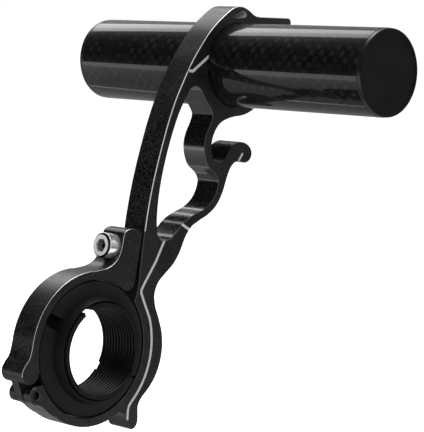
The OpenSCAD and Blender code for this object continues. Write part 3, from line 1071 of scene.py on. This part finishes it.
@dataclass
class ClampScrew:
    """Socket-head screw of the clamp, with a hexagon socket and a cut thread.

    head_edges are the corner radii of the face, the bevel and the back, and bevel_shares how far the
    bevel and its painted dark band go, as shares of the rim: that band and the socket's bottom take a
    near-black steel as painted dark reflection and painted shade. socket_cone and socket_foot shape
    the socket's bottom by shares of its size, and socket_mouth gives how far the mouth is open at
    each depth.
    """

    head: tuple[float, float] = (6.5 * MM, 25.25 * MM)
    tilt_degrees: float = -11.0
    head_radius: float = 3.3 * MM
    head_height: float = 4.0 * MM
    head_edges: Point = (0.07 * MM, 0.12 * MM, 0.15 * MM)
    head_sharp_degrees: float = 26.0
    rim: float = 0.62 * MM
    bevel_shares: Range = (0.8, 0.6)
    socket_flats: float = 3.0 * MM
    socket_depth: float = 2.2 * MM
    socket_point: float = 0.55 * MM
    socket_cone: Range = (0.3, 0.7)
    socket_foot: Range = (0.96, 0.985)
    socket_mouth: Outline = ((0.16 * MM, 0.0), (0.10 * MM, 0.02 * MM), (0.0, 0.13 * MM))
    pinhole: float = 0.02 * MM
    loose: float = 0.02 * MM
    shank_radius: float = 2.0 * MM
    length: float = 10.6 * MM
    pitch: float = 0.7 * MM
    thread_depth: float = 0.34 * MM
    thread_rise: float = 1.25
    thread_land: float = 0.1
    thread_sharp_degrees: float = 50.0
    thread_rows: int = 260
    tip_bevel: float = 0.4 * MM
    overlap: float = 0.05 * MM
    plain: float = 1.6 * MM
    around: int = 96

    def axis(self) -> Axis:
        """The screw's axis, from the head's face towards its tip."""
        a = math.radians(self.tilt_degrees)
        return Axis((0.0, *self.head), (0.0, math.cos(a), math.sin(a)))

    def build_head(self, finishes: Materials) -> SceneObject:
        """Turns the head, with a socket whose radius follows a hexagon.

        At angle a the socket's wall lies at half the flats over cos(a), a taken within 30 degrees of
        the nearest flat's middle; further out the radius of each ring is the same all round.

        Args:
            finishes: The materials, in the order of ScrewFinish.

        Returns:
            The head, which stands for the solid.
        """
        angle = np.linspace(0.0, 2.0 * math.pi, self.around, endpoint=False)
        near_flat = (angle + math.pi / 6) % (math.pi / 3) - math.pi / 6
        hexagon = self.socket_flats / 2 / np.cos(near_flat)
        even = np.ones(self.around)
        depth, point = self.socket_depth, self.socket_point
        deep, across = self.socket_cone
        foot_depth, foot_across = self.socket_foot
        bottom = [(depth + point, self.pinhole * even), (depth + point * deep, across * hexagon),
                  (depth, foot_across * hexagon)]
        walls = [(depth * foot_depth, hexagon)] + [(s, hexagon + r) for s, r in self.socket_mouth]
        front, middle, back = self.head_edges
        bevel_end, dark_end = (self.rim * share for share in self.bevel_shares)
        face_radius = self.head_radius - self.rim
        outer = rounded_profile([(0.0, self.shank_radius, 0.0), (0.0, face_radius, front),
                                 (bevel_end, self.head_radius, middle),
                                 (self.head_height, self.head_radius, back),
                                 (self.head_height, self.shank_radius - self.thread_depth, 0.0)])
        rings = bottom + walls + [(s, r * even) for s, r in outer]
        place = np.array([s for s, _ in rings])
        radius = np.array([r for _, r in rings])
        shape = self.axis().sweep(place, radius)
        piece = make_piece("screw_head", shape, "screw", finishes)
        start, reach = place[:-1], radius[:-1, 0]
        # Painted shade: the bevel's inner band takes near-black steel as a painted dark reflection,
        # and the socket's bottom rings take it as painted shade
        bevel = (start < dark_end) & (reach > face_radius - self.loose)
        dark = bevel | (np.arange(len(start)) < len(bottom))
        slots = np.where(start < self.loose, ScrewFinish.FACE, ScrewFinish.SIDE)
        slots = np.repeat(np.where(dark, ScrewFinish.BEVEL, slots), self.around)
        piece.data.polygons.foreach_set("material_index", slots.astype(np.int32))
        finish_mesh(piece, self.head_sharp_degrees)
        wrap_uv(piece, "turning", self.axis(), 1.0, 2.0 * math.pi * self.head_radius)
        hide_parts("clamp_screw")
        return piece

    def build_shank(self, steel: Material) -> SceneObject:
        """Cuts the thread: the radius falls by the depth times a triangle wave.

        The wave is one of s / pitch less the share of a turn, with its tops and bottoms cut flat. The
        depth fades in after the plain neck, and the tip is bevelled at 45 degrees.

        Args:
            steel: Finish of the thread.

        Returns:
            The shank.
        """
        turns = np.linspace(0.0, 1.0, self.around // 2, endpoint=False)
        tip = self.head_height + self.length
        s = np.linspace(self.head_height - self.overlap, tip, self.thread_rows)
        phase = (s[:, None] / self.pitch - turns) % 1.0
        wave = np.abs(phase * 2.0 - 1.0) * self.thread_rise - self.thread_land
        wave = np.clip(wave, 0.0, 1.0)
        fade = np.clip((s - self.head_height - self.plain) / self.pitch, 0.0, 1.0)[:, None]
        radius = self.shank_radius - self.thread_depth * fade * wave
        radius = np.minimum(radius, self.shank_radius - self.tip_bevel + (tip - s)[:, None])
        centre = np.full((1, len(turns)), self.pinhole)
        shape = self.axis().sweep(np.concatenate([s[:1], s, s[-1:]]),
                                  np.concatenate([centre, radius, centre]))
        piece = make_piece("screw_thread", shape, "screw", (steel,))
        finish_mesh(piece, self.thread_sharp_degrees)
        wrap_uv(piece, "turning", self.axis(), 1.0, 2.0 * math.pi * self.shank_radius)
        return piece


@dataclass
class HingePin:
    """The pin that the jaw swings on."""

    centre: tuple[float, float] = (-18.35 * MM, -9.0 * MM)
    radius: float = 1.0 * MM
    bevel: float = 0.18 * MM
    dome: float = 0.06 * MM
    edge: float = 0.05 * MM
    around: int = 48

    def build(self, steel: Material) -> SceneObject:
        """Turns the pin, with bevelled ends a little domed.

        Args:
            steel: Finish of the pin.

        Returns:
            The pin, which stands for the solid.
        """
        low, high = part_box("hinge_pin")
        axis = Axis((0.0, *self.centre), (1.0, 0.0, 0.0))
        shoulder = self.radius - self.bevel
        section = [(low.x, 0.0, 0.0), (low.x + self.dome, shoulder, self.edge),
                   (low.x + self.bevel + self.dome, self.radius, self.edge),
                   (high.x - self.bevel - self.dome, self.radius, self.edge),
                   (high.x - self.dome, shoulder, self.edge), (high.x, 0.0, 0.0)]
        shape = axis.lathe(rounded_profile(section), self.around)
        piece = make_piece("hinge_pin_turned", shape, "bracket", (steel,))
        finish_mesh(piece)
        wrap_uv(piece, "turning", axis, 1.0, 2.0 * math.pi * self.radius)
        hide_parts("hinge_pin")
        return piece


@dataclass
class BarInsert:
    """A plastic sleeve of the clamp: its dressed copy has rounded edges, unless edge is 0."""

    node: str
    name: str
    edge: float
    sharp_degrees: float = 40.0
    smooth_degrees: float = 28.0

    def build(self, plastic: Material) -> SceneObject:
        """Copies the solid and rounds its sharp edges.

        Args:
            plastic: Finish of the sleeve.

        Returns:
            The dressed piece, which stands for the solid.
        """
        piece = copy_of_node(self.node, self.name, "bracket", (plastic,))
        work = merged_mesh(piece)
        if self.edge > 0.0:
            limit = math.radians(self.sharp_degrees)
            sharp = [e for e in work.edges
                     if len(e.link_faces) == 2 and e.calc_face_angle(0.0) > limit]
            bmesh.ops.bevel(work, geom=sharp, offset=self.edge, offset_type="OFFSET", segments=2,
                            profile=0.5, affect="EDGES", clamp_overlap=True, loop_slide=True)
        shade_by_angle(work, self.smooth_degrees)
        bmesh.ops.triangulate(work, faces=work.faces)
        write_back(work, piece)
        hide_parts(self.node)
        return piece


# Studio


@dataclass(frozen=True)
class PhotoCamera:
    """The camera that took the photograph, solved in the part's frame."""

    eye: Point = (0.35056, -0.30748, 0.09442)
    right: Point = (0.7104, 0.7038, 0.0)
    back: Point = (0.6978, -0.7044, 0.1304)
    focal_pixels: float = 1881.8
    image: tuple[int, int] = (424, 432)
    sensor: float = 36.0
    clip: Range = (0.01, 20.0)

    def build(self) -> SceneObject:
        """Places the camera, with its lens from the focal length in pixels.

        Returns:
            The camera.
        """
        back = Vector(self.back).normalized()
        up = back.cross(Vector(self.right)).normalized()
        right = up.cross(back)
        data = bpy.data.cameras.new("photo_camera")
        data.sensor_width = self.sensor
        data.lens = self.focal_pixels / max(self.image) * self.sensor
        data.clip_start, data.clip_end = self.clip
        made = bpy.data.objects.new("photo_camera", data)
        turn = Matrix((right, up, back)).transposed().to_4x4()
        made.matrix_world = Matrix.Translation(self.eye) @ turn
        bpy.context.scene.collection.objects.link(made)
        bpy.context.scene.camera = made
        return made


def flat_sheet(name: str, corners: Sequence[Point], material: Material) -> SceneObject:
    """Makes one flat quad of the studio.

    Args:
        name: Name of the sheet.
        corners: Its four corners in turn.
        material: Its material.

    Returns:
        The sheet.
    """
    mesh = bpy.data.meshes.new(name)
    mesh.from_pydata(corners, [], [(0, 1, 2, 3)])
    mesh.materials.append(material)
    made = bpy.data.objects.new(name, mesh)
    bpy.context.scene.collection.objects.link(made)
    return made


@dataclass(frozen=True)
class Panel:
    """A long flat panel parallel to the tube, seen end-on as a line from one point to another.

    low and high are the ends of that line in Y and Z, and span is the panel's reach along X. The
    whole may be carried round the part's upright axis by some degrees.
    """

    name: str
    low: tuple[float, float]
    high: tuple[float, float]
    span: tuple[float, float]
    turn_degrees: float = 0.0

    def placed(self) -> tuple[Matrix, float, float]:
        """Where the panel stands.

        Returns:
            The panel's matrix, with its -Z towards the part, and its width and height.
        """
        low, high = np.array(self.low), np.array(self.high)
        centre = Vector((sum(self.span) / 2, *((low + high) / 2)))
        rise = Vector((0.0, *(high - low)))
        across = Vector((1.0, 0.0, 0.0))
        face = across.cross(rise).normalized()
        if face.dot(Vector((0.0, WovenTube.axis_y, WovenTube.axis_z)) - centre) > 0.0:
            face = -face
        up = face.cross(across)
        basis = Matrix((across, up, face)).transposed().to_4x4()
        turn = Matrix.Rotation(math.radians(self.turn_degrees), 4, "Z")
        return turn @ Matrix.Translation(centre) @ basis, self.span[1] - self.span[0], rise.length

    def light(self, radiance: float) -> SceneObject:
        """Makes the panel a soft light of even brightness.

        Args:
            radiance: Brightness of the panel, 1 being white.

        Returns:
            The light.
        """
        matrix, width, height = self.placed()
        data = bpy.data.lights.new(self.name, "AREA")
        data.shape = "RECTANGLE"
        data.size, data.size_y = width, height
        data.energy = radiance * math.pi * width * height
        made = bpy.data.objects.new(self.name, data)
        made.matrix_world = matrix
        bpy.context.scene.collection.objects.link(made)
        return made

    def card(self, start: float = 0.0, end: float = 0.0) -> SceneObject:
        """Makes the panel a card that only reflections see, with an even fade from low to high.

        Args:
            start: Brightness at low, 0 being black and 1 white.
            end: Brightness at high.

        Returns:
            The card.
        """
        matrix, width, height = self.placed()
        corners = [matrix @ Vector((x * width / 2, y * height / 2, 0.0))
                   for x, y in ((-1, -1), (1, -1), (1, 1), (-1, 1))]
        s = Shader(self.name)
        parts = s.node("ShaderNodeSeparateXYZ")
        s.feed(parts.inputs[0], s.coords())
        run = np.abs(np.subtract(self.high, self.low))
        way = 0 if run[0] > run[1] else 1
        fade = s.between(parts.outputs["YZ"[way]], start, end, self.low[way], self.high[way])
        s.setting(Base_Color=(0.004, 0.004, 0.004), Roughness=1.0, Specular_IOR_Level=0.0,
                  Emission_Color=(1.0, 1.0, 1.0), Emission_Strength=fade)
        made = flat_sheet(self.name, corners, s.material)
        made.visible_camera = False
        made.visible_shadow = False
        made.visible_diffuse = False
        return made


@dataclass
class Studio:
    """White surroundings, a pale floor, soft lights, and cards that shape the reflections."""

    floor_z: float = -0.145
    floor_reach: float = 4.0
    floor_tone: float = 0.8
    floor_glow: float = 0.62
    ambient: float = 0.55
    overhead: Panel = Panel("overhead_light", (-0.065, 0.660), (0.36, 0.574), (-1.1, 0.35), -12.0)
    front_fill: Panel = Panel("front_fill", (-0.541, -0.012), (-0.541, -0.14), (-1.0, 0.2))
    front_card: Panel = Panel("front_card", (0.36, 0.90), (-0.541, -0.011), (-1.3, 0.15))
    side_card: Panel = Panel("side_card", (0.45, 0.20), (0.45, -0.14), (-0.35, 0.35), -45.0)
    floor_card: Panel = Panel("floor_card", (-0.541, -0.141), (0.045, -0.141), (-1.3, 0.1))
    back_card: Panel = Panel("back_card", (0.062, -0.141), (0.8, -0.141), (-1.3, 0.1))
    sky_card: Panel = Panel("sky_card", (0.45, 0.75), (0.9, 0.1), (-1.3, 0.1))
    overhead_level: float = 3.8
    fill_level: float = 1.3
    floor_card_levels: Range = (1.4, 0.35)
    back_card_levels: Range = (0.45, 0.45)
    side_card_levels: Range = (0.75, 0.0)

    def build_world(self) -> None:
        """White where the camera, gloss and glass look, and an even soft grey for the rest."""
        world = bpy.data.worlds.new("studio_world")
        bpy.context.scene.world = world
        world.use_nodes = True
        nodes = Nodes(world.node_tree)
        shade = next(n for n in nodes.tree.nodes if n.type == "BACKGROUND")
        nodes.feed(shade.inputs["Color"], (1.0, 1.0, 1.0, 1.0))
        nodes.feed(shade.inputs["Strength"], nodes.between(nodes.seen_directly(), self.ambient, 1.0))

    def build_floor(self) -> SceneObject:
        """A pale plain floor that shows as white and keeps a soft shadow.

        Returns:
            The floor.
        """
        s = Shader("pale_floor")
        s.setting(Base_Color=(self.floor_tone,) * 3, Roughness=1.0, Specular_IOR_Level=0.0,
                  Emission_Color=(1.0, 1.0, 1.0),
                  Emission_Strength=s.maths("MULTIPLY", s.seen_directly(), self.floor_glow))
        r, z = self.floor_reach, self.floor_z
        made = flat_sheet("floor", [(-r, -r, z), (r, -r, z), (r, r, z), (-r, r, z)], s.material)
        return made

    def build(self) -> None:
        """Builds all of it and sets the plain view transform."""
        self.build_world()
        self.build_floor()
        self.overhead.light(self.overhead_level)
        self.front_fill.light(self.fill_level)
        self.front_card.card()
        self.side_card.card(*self.side_card_levels)
        self.floor_card.card(*self.floor_card_levels)
        self.back_card.card(*self.back_card_levels)
        self.sky_card.card(*self.back_card_levels)
        bpy.context.scene.view_settings.view_transform = "Standard"


def report(piece: SceneObject) -> None:
    """Logs a piece's name and how many faces it has."""
    log.info("%s: %d faces", piece.name, len(piece.data.polygons))


def main() -> None:
    """Builds the camera, the studio and every sub-assembly, in order."""
    logging.basicConfig(level=logging.INFO, format="%(name)s: %(message)s")
    PhotoCamera().build()
    Studio().build()
    black = AnodisedAlloy().build()
    bare = MilledAlloy().build()
    # Broken black rims: glossier anodising, with a lighter black colour that paints their sheen
    black_edge_sheen = AnodisedAlloy("black_edge_painted_sheen", (0.014, 0.014, 0.0145), (0.03, 0.03, 0.031),
                         shine=0.6).build()
    # The head's face: a near-white, barely metallic steel whose colour paints its bright reflection
    face = TurnedSteel("steel_face_painted_highlight", (0.72, 0.72, 0.73), (0.97, 0.97, 0.98), (0.16, 0.30),
                       metal=0.15).build()
    bright = TurnedSteel(metal=0.75).build()
    # Near-black steel: the hinge pin's dark colour, and painted dark reflection and shade on the screw
    # head
    dark = TurnedSteel("dark_steel_and_painted_shade", (0.006, 0.006, 0.0065), (0.022, 0.022, 0.023),
                       (0.28, 0.42)).build()
    insert = MouldedPlastic("insert_plastic").build()
    cap = MouldedPlastic("cap_plastic", rough=(0.5, 0.62), shine=0.07).build()
    cap_rim = MouldedPlastic("cap_rim", rough=(0.30, 0.40), shine=0.35).build()
    weave = ClearCoatedWeave().build()
    smooth = AnodisedAlloy("polished_wall", shine=0.6, rough=(0.13, 0.19),
                           relief=0.002 * MM).build()
    # The light grey of the etched accent lines, also painted on the small window's walls as a
    # highlight
    line = MilledAlloy("etched_line_and_painted_highlight", (0.46, 0.46, 0.464), (0.72, 0.72, 0.724), (0.5, 0.62),
                       metal=0.0).build()

    plate = (black, bare, black_edge_sheen, smooth, line)
    bracket = MilledPlate("bracket", "bracket_milled", "bracket", ARM_FRONT,
                          polished_openings=(ARM_WINDOW,), highlight_openings=(CREST_WINDOW,))
    report(bracket.build(plate))
    jaw = MilledPlate("clamp_jaw", "jaw_milled", "jaw", JAW_OUTSIDE, bare_width=0.07 * MM)
    report(jaw.build(plate))
    report(HingePin().build(dark))
    screw = ClampScrew()
    report(screw.build_head((bright, dark, face)))
    report(screw.build_shank(bright))
    for node, name, edge in (("outer_insert", "ring_insert", 0.15 * MM),
                             ("middle_insert", "cone_sleeve", 0.1 * MM),
                             ("inner_insert", "grip_sleeve", 0.0)):
        report(BarInsert(node, name, edge).build(insert))
    tube = WovenTube()
    report(tube.build_tube(weave))
    for side in Side:
        report(tube.build_cap(side, (cap, cap_rim)))


if __name__ == "__main__":
    main()
